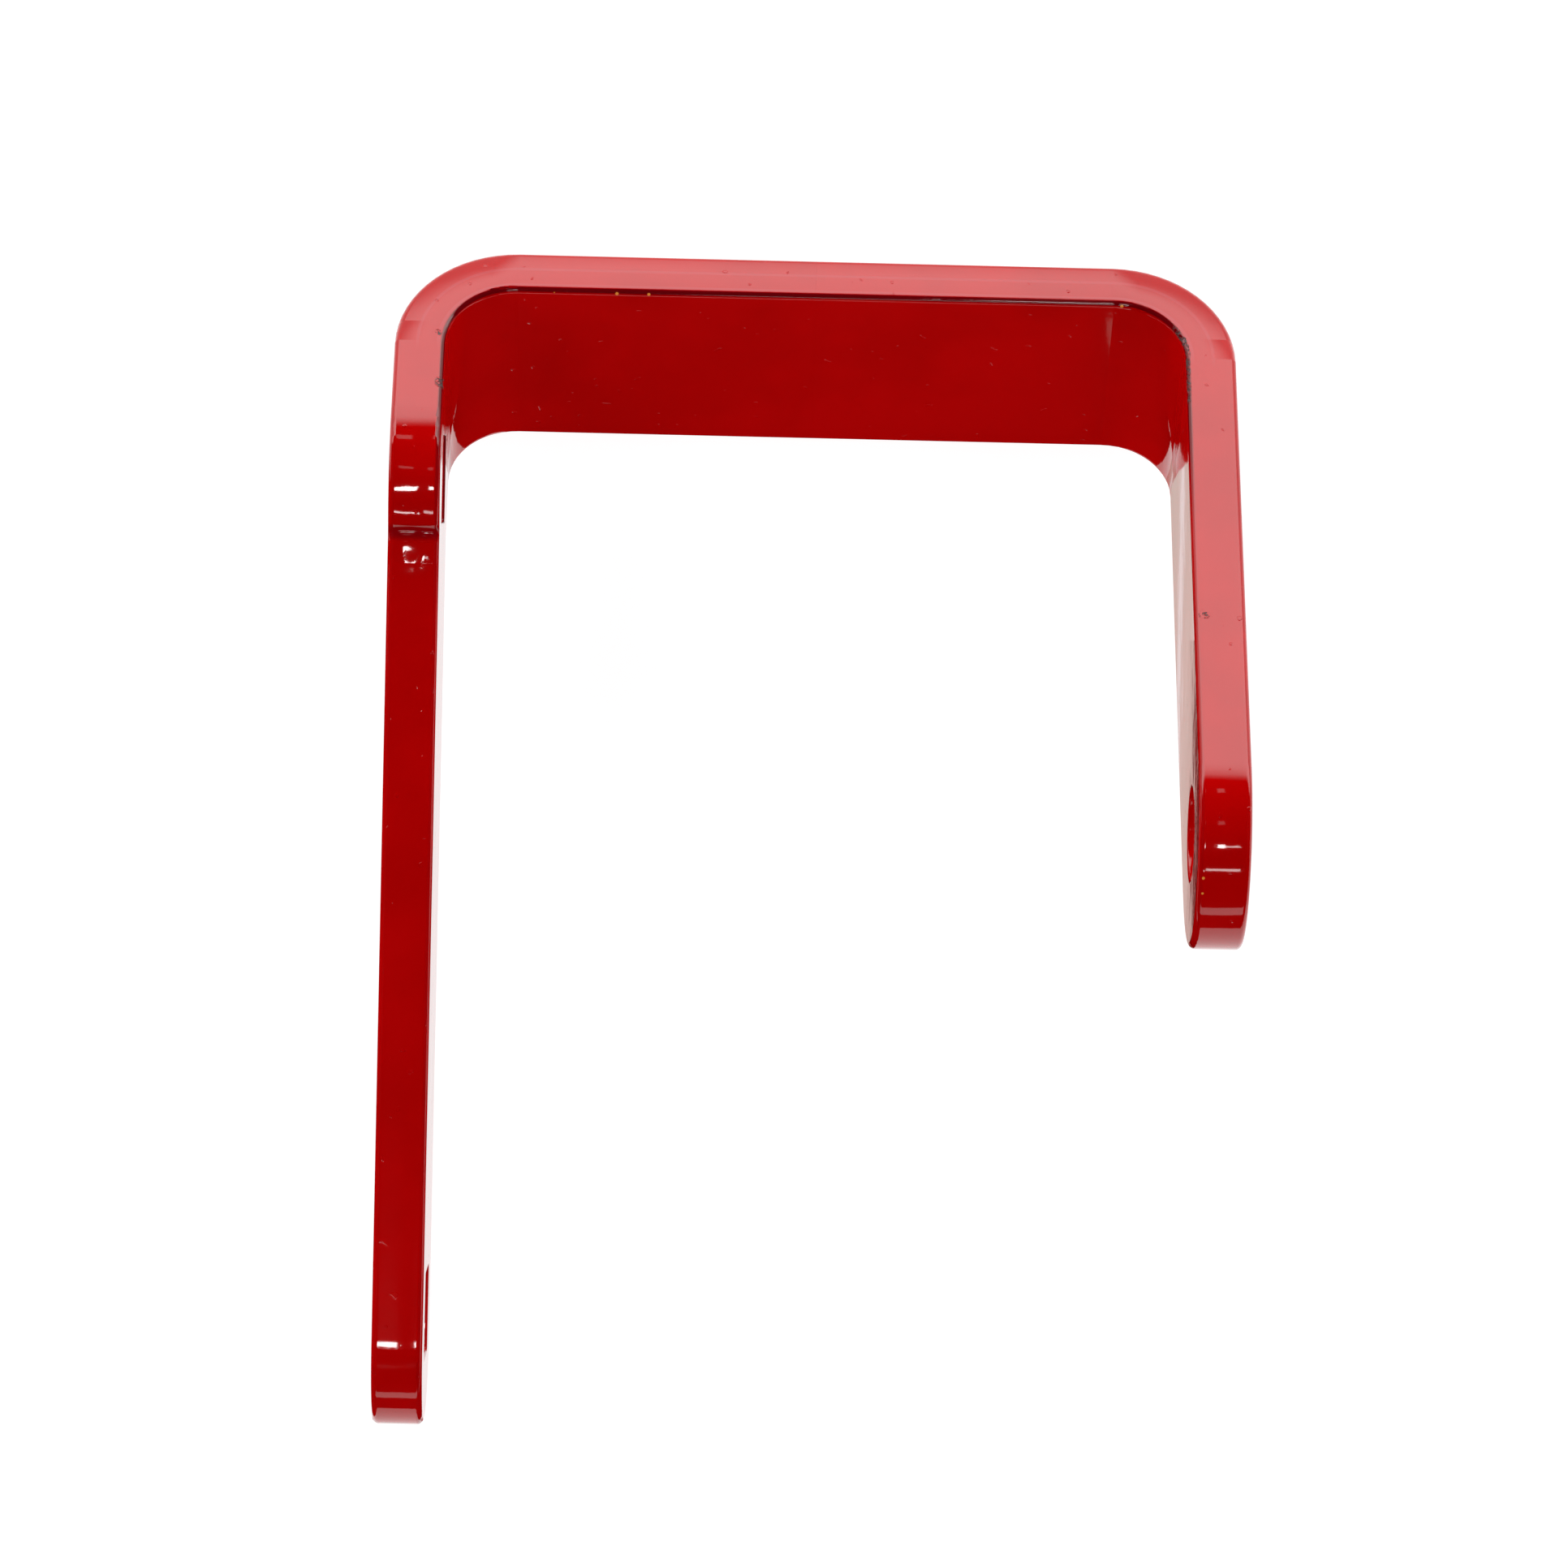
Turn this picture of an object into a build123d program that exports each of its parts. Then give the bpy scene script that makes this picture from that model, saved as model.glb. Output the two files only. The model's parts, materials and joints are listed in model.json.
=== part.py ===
from build123d import *
from math import acos, atan2, cos, degrees, radians, sin, sqrt
import os

# Offset U bracket, bent from one cut plate. All sizes in millimetres.
#
# The bracket is drawn standing on its web: the web's outer face lies on Z = 0, both
# legs stand up along +Z, X runs across the U from the long leg (-X) to the short leg
# (+X), and Y runs across the bar. It cannot stand like that, because its arm outweighs
# the web, so the last step lays it down as it comes to rest by itself: on the web's
# outer corner and on the end of the arm, with the origin under the middle of its box.

# Driving dimensions of the plate and the U.
plate = 7.94             # plate thickness (5/16 in)
bar_width = 34.7         # width of the web and of both legs
inner_width = 115.1      # clear gap between the two legs
bend_radius = 10.9       # inner radius of both bends
edge_round = 0.95        # rounding of the cut edges
hole_edge_round = 0.4    # rounding where a hole meets the plate's faces

# Short leg: a full round end around a round bolt hole.
short_hole_height = 98.6     # hole centre above the web's outer face
short_hole_diameter = 14.3   # 9/16 in clearance hole for a 1/2 in bolt

# Long leg: a round ear around a square hole, and an arm that leans away from it.
ear_height = 32.4        # ear centre above the web's outer face
arm_angle = 40.7         # lean of the arm from the leg's own direction
arm_width = 30.8
arm_hole_distance = 130.9    # ear centre to the centre of the arm's square hole
arm_end_margin = 17.3    # that hole's centre to the end of the arm
arm_end_radius = 13.5    # rounding of the arm's two end corners
notch_radius = 1.0       # fillet in the notch between the ear and the arm
elbow_radius = 12.0      # fillet inside the elbow, on the arm's other side
square_hole = 13.5       # 17/32 in square for a 1/2 in square-neck bolt
hole_corner = 0.8        # corner radius of the square holes

# Sizes that follow from them.
outer_bend = bend_radius + plate
leg_inner_x = inner_width / 2
leg_outer_x = leg_inner_x + plate
half_bar = bar_width / 2
half_arm = arm_width / 2
arm_reach = arm_hole_distance + arm_end_margin

# The long leg is drawn in (Y, Z). along points down the arm, under towards its lower side.
ear = Vector(0, ear_height)
along = Vector(-sin(radians(arm_angle)), cos(radians(arm_angle)))
under = Vector(-along.Y, along.X)
notch = ear + along * sqrt(half_bar**2 - half_arm**2) - under * half_arm
elbow_step = (half_bar - half_arm * cos(radians(arm_angle))) / sin(radians(arm_angle))
elbow = ear + under * half_arm + along * elbow_step
side_height = max(ear_height, elbow.Y)   # the leg's straight side always reaches the elbow
arm_corners = [ear + along * arm_reach + under * side for side in (-half_arm, half_arm)]

os.makedirs("parts", exist_ok=True)

with BuildPart() as bracket:
    # Web and both bends: half of the U's profile, mirrored, and extruded over the bar's width.
    with BuildSketch(Plane.XZ):
        with BuildLine():
            Line((0, 0), (leg_outer_x - outer_bend, 0))
            RadiusArc((leg_outer_x - outer_bend, 0), (leg_outer_x, outer_bend), -outer_bend)
            Line((leg_outer_x, outer_bend), (leg_inner_x, outer_bend))
            RadiusArc((leg_inner_x, outer_bend), (leg_inner_x - bend_radius, plate), bend_radius)
            Line((leg_inner_x - bend_radius, plate), (0, plate))
            Line((0, plate), (0, 0))
        make_face()
        mirror(about=Plane.YZ)
    extrude(amount=half_bar, both=True)

    # Short leg: a straight bar with a full round end.
    with BuildSketch(Plane.YZ.offset(leg_inner_x)):
        with Locations((0, (outer_bend + short_hole_height) / 2)):
            Rectangle(bar_width, short_hole_height - outer_bend)
        with Locations((0, short_hole_height)):
            Circle(half_bar)
    extrude(amount=plate)

    # Long leg: a short bar, the ear, and the arm with its rounded end.
    with BuildSketch(Plane.YZ.offset(-leg_outer_x)) as long_leg:
        with Locations((0, (outer_bend + ear_height) / 2)):
            Rectangle(bar_width, ear_height - outer_bend)
        with Locations((-half_bar / 2, (outer_bend + side_height) / 2)):
            Rectangle(half_bar, side_height - outer_bend)
        with Locations(ear):
            Circle(half_bar)
        with Locations((0, outer_bend - half_bar)):
            Rectangle(bar_width, bar_width, mode=Mode.SUBTRACT)
        with Locations(Location(ear + along * arm_reach / 2, (0, 0, 90 + arm_angle))):
            Rectangle(arm_reach, arm_width)
        for point, radius in [(notch, notch_radius), (elbow, elbow_radius)]:
            fillet(long_leg.vertices().sort_by_distance(point)[0], radius)
        for point in arm_corners:
            fillet(long_leg.vertices().sort_by_distance(point)[0], arm_end_radius)
    extrude(amount=plate)

    # Round every edge where a cut meets one of the plate's two faces. Left as they are: the
    # edges across the thickness, along X on the legs, and the seams beside the bends, along Y.
    across = bracket.edges().filter_by(lambda edge: abs(edge.center().X) > leg_inner_x).filter_by(Axis.X)
    seams = bracket.edges().filter_by(Axis.Y)
    fillet(bracket.edges() - across - seams, edge_round)

    # Round bolt hole in the short leg, square holes in the ear and near the arm's end.
    with BuildSketch(Plane.YZ.offset(leg_inner_x)):
        with Locations((0, short_hole_height)):
            Circle(short_hole_diameter / 2)
    extrude(amount=plate, mode=Mode.SUBTRACT)
    round_hole_edges = bracket.edges(Select.LAST)
    with BuildSketch(Plane.YZ.offset(-leg_outer_x)):
        for centre in (ear, ear + along * arm_hole_distance):
            with Locations(Location(centre, (0, 0, 90 + arm_angle))):
                RectangleRounded(square_hole, square_hole, hole_corner)
    extrude(amount=plate, mode=Mode.SUBTRACT)
    hole_edges = round_hole_edges + bracket.edges(Select.LAST)
    hole_rims = hole_edges.filter_by(lambda edge: abs(edge.tangent_at(0.5).X) < 0.5)
    fillet(hole_rims, hole_edge_round)

# Lay the bracket down: turn it about X until the rounded corner of the web and the rounded
# end of the arm both touch the floor, along the common tangent below their two circles.
web_corner = Vector(-half_bar + edge_round, edge_round)
arm_corner = arm_corners[1] - along * arm_end_radius - under * arm_end_radius
between = arm_corner - web_corner
slope = degrees(atan2(between.Y, between.X))
rest_tilt = 270 - slope - degrees(acos((edge_round - arm_end_radius) / between.length))
lying = bracket.part.moved(Location((0, 0, 0), (rest_tilt, 0, 0)))
box = lying.bounding_box()
lying = lying.moved(Location((-box.center().X, -box.center().Y, -box.min.Z)))
lying.label = "bracket"
export_step(lying, "parts/bracket.step")

print(f"rest tilt {rest_tilt:.3f} degrees, box {lying.bounding_box()}, mass centre {lying.center(CenterOf.MASS)}")
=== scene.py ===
"""Looks of the offset U bracket: its gloss red coat, the studio around it and the camera."""
import json
import math

import bpy
from mathutils import Matrix, Vector

MM = 0.001

# Sizes of the bracket, as part.py has them, in millimetres. The coat's nodes need them.
PLATE = 7.94
BEND_RADIUS = 10.9
OUTER_BEND = BEND_RADIUS + PLATE
LEG_OUTER_X = 115.1 / 2 + PLATE
EAR_HEIGHT = 32.4
ARM_ANGLE = math.radians(40.7)
LEG_MIDDLE_X = LEG_OUTER_X - PLATE / 2

# The coat's own detail, in millimetres in the drawing.
CROWN = 0.011            # how far a cut edge falls away from its middle, per square millimetre
BEND_CROWN = 0.010       # the same, measured from the inner face, where the plate was drawn thin by bending
NOTCH = (0.0, 6.7, 48.9)
NOTCH_GROOVE = 0.22      # depth of the line that the coat left in the notch
NOTCH_RUN = (-LEG_MIDDLE_X, 4.8, 50.4)
ARM_LEAN = 0.05          # how far the arm's cut is out of square, as a slope along the arm
LEAN_FROM, LEAN_TO = 12.8, 133.1    # where along the arm that starts, and where it begins to fade
LEAN_FADE = 1.4          # the length over which it fades
CHIPS = [((-57.8, 17.0, 27.2), 1.1), ((-58.9, 17.3, 17.2), 0.6), ((59.1, 17.3, 70.0), 0.8)]
RAGGED_RIM = ((57.6, 17.0, 20.0), 7.5)
# Small bright points of painted glint on the edges, at points of the drawing, with their radii.
PAINTED_GLINT_SPECKS = [((-46.3, 16.9, 8.2), 0.2), ((-41.0, 16.9, 8.0), 0.2), ((-31.2, 16.9, 7.9), 0.28),
               ((-26.2, 16.9, 7.9), 0.26), ((47.9, 16.9, 8.0), 0.28), ((-58.9, -77.3, 147.6), 0.22),
               ((58.4, 8.9, 113.6), 0.25), ((58.4, 6.6, 114.7), 0.2)]

# Linear colours of the coat, of what shows through it, and of the painted highlight, shade and glints on
# it.
RED_LOW = (0.48, 0.0004, 0.0006, 1)
RED_HIGH = (0.54, 0.0006, 0.0010, 1)
# Painted highlight on two lines of the web's cut edge.
RED_PAINTED_HIGHLIGHT_LINES = (0.52, 0.035, 0.045, 1)
# Painted shade on the rounding of the inner rim.
RED_PAINTED_RIM_SHADE = (0.085, 0.0004, 0.003, 1)
# Painted shade in the notch.
RED_PAINTED_NOTCH_SHADE = (0.12, 0.0004, 0.004, 1)
BARE_STEEL = (0.045, 0.030, 0.028, 1)
# Colour of the painted glints.
PAINTED_GLINT_ORANGE = (0.85, 0.30, 0.05, 1)
GLOSS = 0.05             # roughness of the coat
PAINT_IOR = 1.5

# The camera: its angles in the drawing, the point it looks at, and how far away it stands.
CAMERA_PITCH, CAMERA_YAW, CAMERA_ROLL = math.radians(37.56), math.radians(-0.84), math.radians(-1.31)
CAMERA_AIM = (-3.04, -43.89, 57.11)
CAMERA_DISTANCE = 1.121
CAMERA_LENS, CAMERA_SENSOR = 161.75, 36.0

# The big softbox: its angle from straight up, in degrees, and how its light fades across its short
# side, in metres from its middle. Positive is towards the horizon.
SWEEP_ANGLE = -74.0
SWEEP_RADIANCE = 3.5
SWEEP_TOP, SWEEP_FULL_TOP = -0.44, -0.19
SWEEP_LOW, SWEEP_FULL_LOW, SWEEP_LOWEST = 0.32, 0.06, 0.3

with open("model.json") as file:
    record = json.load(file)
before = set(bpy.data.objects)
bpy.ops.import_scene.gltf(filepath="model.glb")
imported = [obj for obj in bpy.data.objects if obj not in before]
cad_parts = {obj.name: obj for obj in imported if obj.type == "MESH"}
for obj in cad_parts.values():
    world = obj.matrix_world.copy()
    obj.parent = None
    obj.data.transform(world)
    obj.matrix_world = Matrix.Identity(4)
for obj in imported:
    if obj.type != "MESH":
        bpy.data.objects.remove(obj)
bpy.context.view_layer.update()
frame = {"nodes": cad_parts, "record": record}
node = frame["nodes"]["bracket"]

# The bracket was drawn standing on its web and then laid down. The web's mount gives back the
# drawing's origin and its Z axis, so the coat and the camera are placed in the drawing.
web = next(m for m in frame["record"]["mounts"] if m["name"] == "web_outer_face")
drawing_origin = Vector(web["pos_m"])
drawing_z = -Vector(web["axis"])
drawing_x = Vector((1, 0, 0))
drawing_y = drawing_z.cross(drawing_x)
drawing_turn = Matrix((drawing_x, drawing_y, drawing_z)).transposed()


def from_drawing(x, y, z):
    """A point of the drawing, in millimetres, as a place in the frame, in metres."""
    return drawing_origin + drawing_turn @ (Vector((x, y, z)) * MM)


# ---------------------------------------------------------------- node helpers
class Nodes:
    """Short calls that add shader nodes to one material."""

    def __init__(self, material):
        self.tree = material.node_tree

    def add(self, kind, inputs=None, **settings):
        new = self.tree.nodes.new(kind)
        for name, value in settings.items():
            setattr(new, name, value)
        for key, value in (inputs or {}).items():
            self.put(new.inputs[key], value)
        return new

    def put(self, socket, value):
        if isinstance(value, bpy.types.NodeSocket):
            self.tree.links.new(value, socket)
        else:
            socket.default_value = value

    def math(self, operation, *values, clamp=False):
        new = self.add("ShaderNodeMath", operation=operation, use_clamp=clamp)
        for socket, value in zip(new.inputs, values):
            self.put(socket, value)
        return new.outputs[0]

    def dot(self, vector, axis):
        new = self.add("ShaderNodeVectorMath", operation="DOT_PRODUCT")
        self.put(new.inputs[0], vector)
        self.put(new.inputs[1], axis)
        return new.outputs["Value"]

    def vector(self, x, y, z):
        return self.add("ShaderNodeCombineXYZ", {0: x, 1: y, 2: z}).outputs[0]

    def noise(self, vector, scale, detail=2.0, roughness=0.5):
        new = self.add("ShaderNodeTexNoise", {"Vector": vector, "Scale": scale, "Detail": detail,
                                              "Roughness": roughness})
        return new.outputs["Fac"]

    def ramp(self, value, low, high, to_low=0.0, to_high=1.0):
        """value from low to high, turned smoothly into to_low to to_high."""
        new = self.add("ShaderNodeMapRange", interpolation_type="SMOOTHSTEP")
        for socket, number in zip(new.inputs, (value, low, high, to_low, to_high)):
            self.put(socket, number)
        return new.outputs[0]

    def mix(self, factor, a, b):
        new = self.add("ShaderNodeMix", data_type="RGBA")
        self.put(new.inputs[0], factor)
        self.put(new.inputs[6], a)
        self.put(new.inputs[7], b)
        return new.outputs[2]


def spot(n, place, centre, radius, edge=0.5):
    """1 inside a ball at a point of the drawing, 0 outside it, with a soft edge. All in millimetres."""
    away = n.add("ShaderNodeVectorMath", operation="DISTANCE")
    n.put(away.inputs[0], place)
    n.put(away.inputs[1], centre)
    return n.ramp(away.outputs["Value"], radius * (1 - edge), radius * (1 + edge), 1.0, 0.0)


# ---------------------------------------------------------------- the coat
def red_coat():
    """Thick gloss red paint over cut and bent plate: crowned cut edges, orange peel and chips, with painted
    highlight lines, painted shade on the inner rim and in the notch, and painted glint specks.
    """
    material = bpy.data.materials.new("gloss_red_coat")
    material.use_nodes = True
    n = Nodes(material)
    shader = material.node_tree.nodes["Principled BSDF"]

    # Place in the drawing, in millimetres.
    here = n.add("ShaderNodeTexCoord").outputs["Object"]
    offset = n.add("ShaderNodeVectorMath", operation="SUBTRACT")
    n.put(offset.inputs[0], here)
    n.put(offset.inputs[1], drawing_origin)
    scaled = n.add("ShaderNodeVectorMath", operation="SCALE")
    n.put(scaled.inputs[0], offset.outputs[0])
    scaled.inputs["Scale"].default_value = 1 / MM
    x = n.dot(scaled.outputs[0], drawing_x)
    y = n.dot(scaled.outputs[0], drawing_y)
    z = n.dot(scaled.outputs[0], drawing_z)
    place = n.vector(x, y, z)

    # Distance from the plate's middle surface: web, bends and legs in one formula.
    past = n.math("MAXIMUM", n.math("SUBTRACT", n.math("ABSOLUTE", x), LEG_OUTER_X - OUTER_BEND), 0.0)
    below = n.math("MAXIMUM", n.math("SUBTRACT", OUTER_BEND, z), 0.0)
    turn = n.math("SQRT", n.math("ADD", n.math("MULTIPLY", past, past), n.math("MULTIPLY", below, below)))
    depth = n.math("SUBTRACT", turn, BEND_RADIUS + PLATE / 2)

    # 1 on the plate's two faces, 0 on the cut edges and in the holes, between them on the rounding.
    facing = n.add("ShaderNodeNewGeometry").outputs["True Normal"]
    across = n.math("MULTIPLY", n.math("MULTIPLY", n.math("SIGN", x), past), n.dot(facing, drawing_x))
    up_down = n.math("MULTIPLY", below, n.dot(facing, drawing_z))
    face = n.math("ABSOLUTE", n.math("DIVIDE", n.math("SUBTRACT", across, up_down), turn))
    rounding = n.math("MULTIPLY", n.ramp(face, 0.10, 0.35), n.ramp(face, 0.80, 0.97, 1.0, 0.0))
    inside = n.ramp(depth, -PLATE / 2 + 1.2, -PLATE / 2 + 1.8, 1.0, 0.0)
    cut = n.ramp(face, 0.05, 0.20, 1.0, 0.0)

    # Crown of the cut edges, in millimetres: highest half way through the plate, and falling away
    # further towards the outside of a bend.
    crown = n.math("MULTIPLY", n.math("MULTIPLY", depth, depth), -CROWN)
    corner = n.math("MULTIPLY", n.math("MINIMUM", past, below), 0.25, clamp=True)
    thinned = n.math("POWER", n.math("ADD", depth, PLATE / 2), 2.0)
    crown = n.math("SUBTRACT", crown, n.math("MULTIPLY", n.math("MULTIPLY", corner, thinned), BEND_CROWN))

    # The arm was cut a little out of square. The lean fades before the arm's rounded end.
    along = n.math("SUBTRACT", n.dot(place, (0, -math.sin(ARM_ANGLE), math.cos(ARM_ANGLE))),
                   EAR_HEIGHT * math.cos(ARM_ANGLE))
    fade = n.math("MINIMUM", n.math("MAXIMUM", n.math("SUBTRACT", along, LEAN_TO), 0.0), LEAN_FADE)
    fade = n.math("SUBTRACT", fade, n.math("DIVIDE", n.math("MULTIPLY", fade, fade), 2 * LEAN_FADE))
    along = n.math("ADD", n.math("MINIMUM", n.math("MAXIMUM", along, LEAN_FROM), LEAN_TO), fade)
    lean = n.math("MULTIPLY", n.math("MULTIPLY", along, n.math("LESS_THAN", x, 0.0)), ARM_LEAN)

    # Marks of the cut run through the plate, so their pattern changes slowly along X on the legs.
    along_cut = n.vector(n.math("MULTIPLY", x, 0.25), y, z)
    drag = n.math("MULTIPLY", n.noise(along_cut, 0.16, 3.0), 0.012)
    # The coat ran and set unevenly in the notch, beside the ear.
    run = n.math("MULTIPLY", spot(n, place, NOTCH_RUN, 3.0, 0.6), 0.38)
    run = n.math("MULTIPLY", run, n.noise(place, 0.24, 0.0))
    on_ear = n.math("MULTIPLY", spot(n, place, (-LEG_MIDDLE_X, 10.0, EAR_HEIGHT + 13.0), 8.0, 0.5), 0.20)
    on_ear = n.math("MULTIPLY", on_ear, n.noise(place, 0.16, 1.0))
    # Flow of the thick coat, its fine orange peel and dust set in it.
    flow = n.math("MULTIPLY", n.noise(place, 0.07, 2.0), 0.05)
    peel = n.math("MULTIPLY", n.noise(place, 0.9, 2.0), 0.0035)
    dust = n.math("MULTIPLY", n.ramp(n.noise(place, 0.8, 0.0), 0.80, 0.86), 0.05)
    height = crown
    for part in (lean, drag, run, on_ear, flow, peel, dust):
        height = n.math("ADD", height, part)

    # The coat didn't level in the notch between the ear and the arm and left a shallow groove there; the
    # dark line along it is painted shade.
    section = n.add("ShaderNodeVectorMath", operation="DISTANCE")
    n.put(section.inputs[0], n.vector(0.0, y, z))
    n.put(section.inputs[1], NOTCH)
    notch = n.ramp(section.outputs["Value"], 0.5, 1.5, 1.0, 0.0)
    notch = n.math("MULTIPLY", notch, n.math("LESS_THAN", x, 0.0))
    height = n.math("SUBTRACT", height, n.math("MULTIPLY", notch, NOTCH_GROOVE))

    # Chips: the coat is broken down to dark steel along the inner rim.
    chips = 0.0
    for centre, radius in CHIPS:
        chips = n.math("MAXIMUM", chips, spot(n, place, centre, radius, 0.3))
    ragged = n.ramp(n.noise(place, 1.1, 3.0, 0.7), 0.50, 0.56)
    rim = spot(n, place, RAGGED_RIM[0], RAGGED_RIM[1], 0.1)
    rim = n.math("MULTIPLY", n.math("MULTIPLY", rim, n.math("MULTIPLY", rounding, inside)), ragged)
    chips = n.math("MAXIMUM", n.math("MULTIPLY", chips, ragged), rim)
    height = n.math("SUBTRACT", height, n.math("MULTIPLY", chips, 0.10))

    # Painted glints: small bright orange points on the edges.
    painted_glints = 0.0
    for centre, radius in PAINTED_GLINT_SPECKS:
        painted_glints = n.math("MAXIMUM", painted_glints, spot(n, place, centre, radius, 0.25))

    bump = n.add("ShaderNodeBump", {"Strength": 1.0, "Distance": MM, "Height": height})
    n.put(shader.inputs["Normal"], bump.outputs[0])

    # The red is uneven by a little. Painted shade darkens it on the inner rim's rounding, most near the
    # web, and painted highlight lines make it paler along two lines on the web's cut edge.
    shade = n.ramp(n.noise(place, 0.04, 3.0, 0.6), 0.35, 0.65)
    colour = n.mix(shade, RED_LOW, RED_HIGH)
    on_bend = n.ramp(z, OUTER_BEND + 2.0, OUTER_BEND - 2.0)
    # Painted highlight: two pale lines along the web's cut edge, where the gloss would mirror a light.
    for line, width in ((-2.9, 0.45), (0.4, 0.35)):
        near = n.ramp(n.math("ABSOLUTE", n.math("SUBTRACT", depth, line)), width * 0.4, width, 1.0, 0.0)
        near = n.math("MULTIPLY", n.math("MULTIPLY", near, cut), on_bend)
        colour = n.mix(n.math("MULTIPLY", near, 0.5), colour, RED_PAINTED_HIGHLIGHT_LINES)
    # Painted shade: the rounding along the inner rim is darkened, most near the web and less up the legs.
    painted_rim_shade = n.math("MULTIPLY", n.math("MULTIPLY", rounding, inside), n.ramp(z, 28.0, 55.0, 0.85, 0.15))
    colour = n.mix(painted_rim_shade, colour, RED_PAINTED_RIM_SHADE)
    # Painted shade along the notch's groove.
    colour = n.mix(n.math("MULTIPLY", notch, 0.55), colour, RED_PAINTED_NOTCH_SHADE)
    colour = n.mix(chips, colour, BARE_STEEL)
    colour = n.mix(painted_glints, colour, PAINTED_GLINT_ORANGE)
    n.put(shader.inputs["Base Color"], colour)
    n.put(shader.inputs["Roughness"], n.math("ADD", n.math("MULTIPLY", chips, 0.4), GLOSS))
    shader.inputs["IOR"].default_value = PAINT_IOR
    return material


coat = red_coat()
node.data.materials.clear()
node.data.materials.append(coat)


# ---------------------------------------------------------------- studio
def camera_basis(pitch, yaw, roll):
    """Right, down and forward of the camera in the drawing. With no angle, it looks along -Z with Y up."""
    right = Vector((1, 0, 0))
    forward = Vector((0, -math.cos(pitch), -math.sin(pitch)))
    down = Vector((0, -math.sin(pitch), math.cos(pitch)))
    right, forward = (math.cos(yaw) * right + math.sin(yaw) * forward,
                      math.cos(yaw) * forward - math.sin(yaw) * right)
    right, down = (math.cos(roll) * right + math.sin(roll) * down,
                   math.cos(roll) * down - math.sin(roll) * right)
    return right, down, forward


def add_camera():
    """A long lens that looks almost straight down at the bracket as it lies."""
    right, down, forward = camera_basis(CAMERA_PITCH, CAMERA_YAW, CAMERA_ROLL)
    data = bpy.data.cameras.new("camera")
    data.sensor_width = CAMERA_SENSOR
    data.lens = CAMERA_LENS
    data.clip_end = 20.0
    camera = bpy.data.objects.new("camera", data)
    turn = Matrix((drawing_turn @ right, drawing_turn @ -down, drawing_turn @ -forward)).transposed()
    place = from_drawing(*CAMERA_AIM) - drawing_turn @ forward * CAMERA_DISTANCE
    camera.matrix_world = Matrix.Translation(place) @ turn.to_4x4()
    bpy.context.scene.collection.objects.link(camera)
    bpy.context.scene.camera = camera


add_camera()
MIDDLE = Vector((0, 0, 0.03))


def hide_from(obj, *rays):
    """Keep these kinds of ray from seeing an object."""
    for ray in rays:
        setattr(obj, "visible_" + ray, False)


def facing_middle(direction, distance, aim=MIDDLE, up=(1, 0, 0)):
    """A place in that direction from aim whose Z axis points away from it and whose X axis is along up."""
    back = Vector(direction).normalized()
    side = (Vector(up) - back * back.dot(Vector(up))).normalized()
    turn = Matrix((side, back.cross(side), back)).transposed()
    return Matrix.Translation(aim + back * distance) @ turn.to_4x4()


def light_towards(name, direction, distance, width, height, radiance, aim=MIDDLE, up=(1, 0, 0)):
    """A rectangular softbox in that direction from aim. width runs along up."""
    data = bpy.data.lights.new(name, "AREA")
    data.shape = "RECTANGLE"
    data.size = width
    data.size_y = height
    data.energy = radiance * math.pi * width * height
    lamp = bpy.data.objects.new(name, data)
    lamp.matrix_world = facing_middle(direction, distance, aim, up)
    bpy.context.scene.collection.objects.link(lamp)
    hide_from(lamp, "camera")
    return lamp


def from_top(angle):
    """Direction at that angle from straight up, in degrees, towards -Y."""
    a = math.radians(angle)
    return Vector((0, -math.sin(a), math.cos(a)))


# Angles are from straight up, positive towards the arm's end (-Y). The key, low, back and top lamps
# are rows of small softboxes: name, angle, from and to along X, depth, and radiance.
hide_from(light_towards("sweep", from_top(-76), 1.0, 3.6, 0.46, 3.4), "glossy")
for name, angle, low, high, depth, radiance in (
        ("key_left", 15.0, -0.440, -0.135, 0.120, 28.0),
        ("key_right", 15.0, 0.106, 0.202, 0.120, 26.0),
        ("key_far", 15.0, 0.202, 0.410, 0.060, 9.0),
        ("low_left", 40.5, -0.440, -0.135, 0.050, 16.0),
        ("low_right", 38.5, -0.020, 0.410, 0.080, 9.0),
        ("back_left", -40.0, -0.400, -0.190, 0.140, 1.3),
        ("back_right", -40.0, 0.106, 0.190, 0.140, 1.3),
        ("top_left", -8.0, -0.420, -0.180, 0.120, 1.0),
        ("top_right", -8.0, 0.106, 0.190, 0.120, 1.0)):
    centre = MIDDLE + Vector(((low + high) / 2, 0, 0))
    light_towards(name, from_top(angle), 2.0, high - low, depth, radiance, aim=centre)
light_towards("horizon", from_top(84), 1.0, 0.80, 0.16, 1.5)
hide_from(light_towards("front_fill", from_top(80), 1.0, 0.9, 0.30, 1.0), "glossy")
for name, side in (("side_left", -1), ("side_right", 1)):
    lamp = light_towards(name, (side, 0.1, 0.8), 1.1, 0.9, 0.7, 2.4, up=(0, 1, 0))
    hide_from(lamp, "glossy")


def sheet(name, x0, x1, y0, y1, z, material):
    """A flat rectangle that faces up, as part of the stage."""
    mesh = bpy.data.meshes.new(name)
    mesh.from_pydata([(x0, y0, z), (x1, y0, z), (x1, y1, z), (x0, y1, z)], [], [(0, 1, 2, 3)])
    mesh.materials.append(material)
    obj = bpy.data.objects.new(name, mesh)
    bpy.context.scene.collection.objects.link(obj)
    return obj


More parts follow.
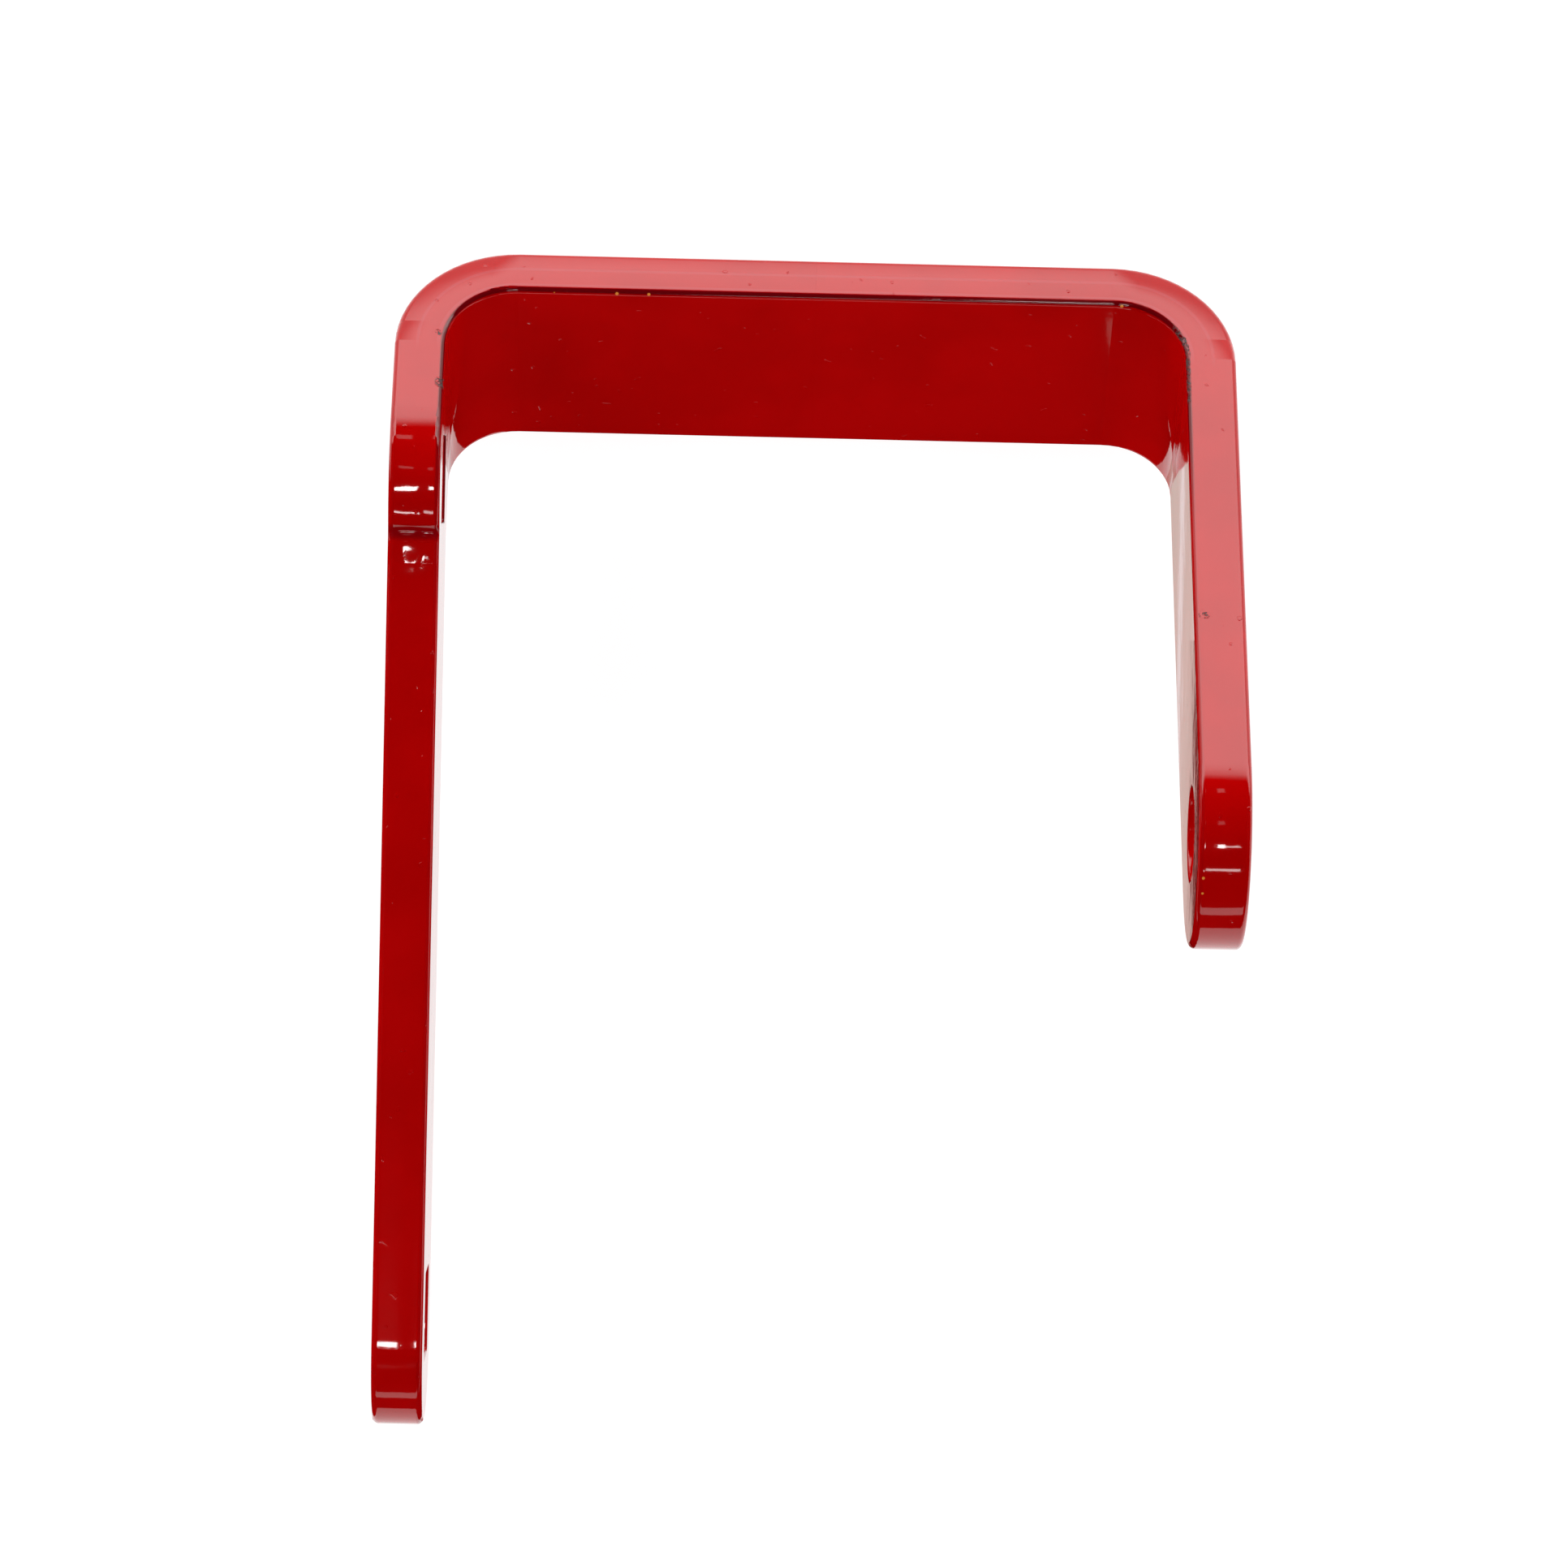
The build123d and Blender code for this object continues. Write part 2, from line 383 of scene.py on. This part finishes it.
def glow(name, colour, strength, albedo):
    """A stage surface that shines by itself and takes some of the studio's light."""
    material = bpy.data.materials.new(name)
    material.use_nodes = True
    shader = material.node_tree.nodes["Principled BSDF"]
    shader.inputs["Base Color"].default_value = (albedo, albedo, albedo, 1)
    shader.inputs["Roughness"].default_value = 1.0
    shader.inputs["Specular IOR Level"].default_value = 0.0
    shader.inputs["Emission Color"].default_value = (*colour, 1)
    shader.inputs["Emission Strength"].default_value = strength
    return material


def sweep_glow():
    """The big softbox as the gloss mirrors it: its light fades towards both long sides."""
    material = glow("sweep_glow", (1, 1, 1), 0.0, 0.0)
    n = Nodes(material)
    place = n.add("ShaderNodeTexCoord").outputs["Object"]
    across = n.dot(place, (0, 1, 0))
    upper = n.ramp(across, SWEEP_TOP, SWEEP_FULL_TOP)
    lower = n.ramp(across, SWEEP_LOW, SWEEP_FULL_LOW, SWEEP_LOWEST, 1.0)
    strength = n.math("MULTIPLY", n.math("MULTIPLY", upper, lower), SWEEP_RADIANCE)
    n.put(material.node_tree.nodes["Principled BSDF"].inputs["Emission Strength"], strength)
    return material


WHITE = glow("white_sweep", (1, 1, 1), 0.92, 0.25)
SHINE = glow("bright_sweep", (1, 1, 1), 1.2, 0.0)
BLACK = glow("black_flag", (0, 0, 0), 0.0, 0.0)
GREY = glow("grey_flag", (1, 1, 1), 1.0, 0.0)
PALE = glow("pale_card", (1, 1, 1), 1.0, 0.0)
BEIGE = glow("beige_card", (0.72, 0.66, 0.60), 1.0, 0.0)
# The camera sees a white floor. Reflections see the cards and flags instead, and nothing else does.
floor = sheet("floor", -3, 3, -3, 3, -0.0005, WHITE)
hide_from(floor, "glossy")
sweep_seen = sheet("sweep_seen", -1.8, 1.8, -0.50, 0.40, 0.0, sweep_glow())
sweep_seen.matrix_world = facing_middle(from_top(SWEEP_ANGLE), 1.0)
cards = [sweep_seen,
         sheet("floor_shine", -3, 3, -3, 3, -0.0004, SHINE),
         sheet("flag_inside", -0.052, 0.0523, -0.03, 0.036, 0.0001, BLACK),
         sheet("flag_web", -0.0488, 0.0488, 0.036, 0.066, 0.0001, BLACK),
         sheet("flag_middle", -0.052, 0.056, -0.21, -0.03, 0.0001, BLACK),
         sheet("flag_left", -3, -0.075, -0.16, 0.066, 0.0001, BLACK),
         sheet("flag_low", -0.20, -0.01, -0.36, -0.25, 0.3, BLACK),
         sheet("flag_front_left", -3, -0.052, -3, -0.160, 0.0001, BLACK),
         sheet("flag_front_right", -0.052, 3, -3, -0.21, 0.0001, BLACK),
         sheet("flag_back", -3, 3, 0.110, 3, 0.0001, GREY),
         sheet("card_left", -0.058, -0.052, -0.118, 0.066, 0.0001, PALE),
         sheet("card_right", 0.0523, 0.058, -0.03, 0.066, 0.0001, BEIGE),
         sheet("streak_right", 0.0546, 0.0552, -0.03, 0.066, 0.0002, PALE)]
for card in cards:
    hide_from(card, "camera", "diffuse", "shadow", "transmission", "volume_scatter")

world = bpy.data.worlds.new("studio")
world.use_nodes = True
world.node_tree.nodes["Background"].inputs["Color"].default_value = (1, 1, 1, 1)
world.node_tree.nodes["Background"].inputs["Strength"].default_value = 1.0
world.cycles_visibility.glossy = False
world.cycles_visibility.diffuse = False
bpy.context.scene.world = world
bpy.context.scene.view_settings.view_transform = "Standard"
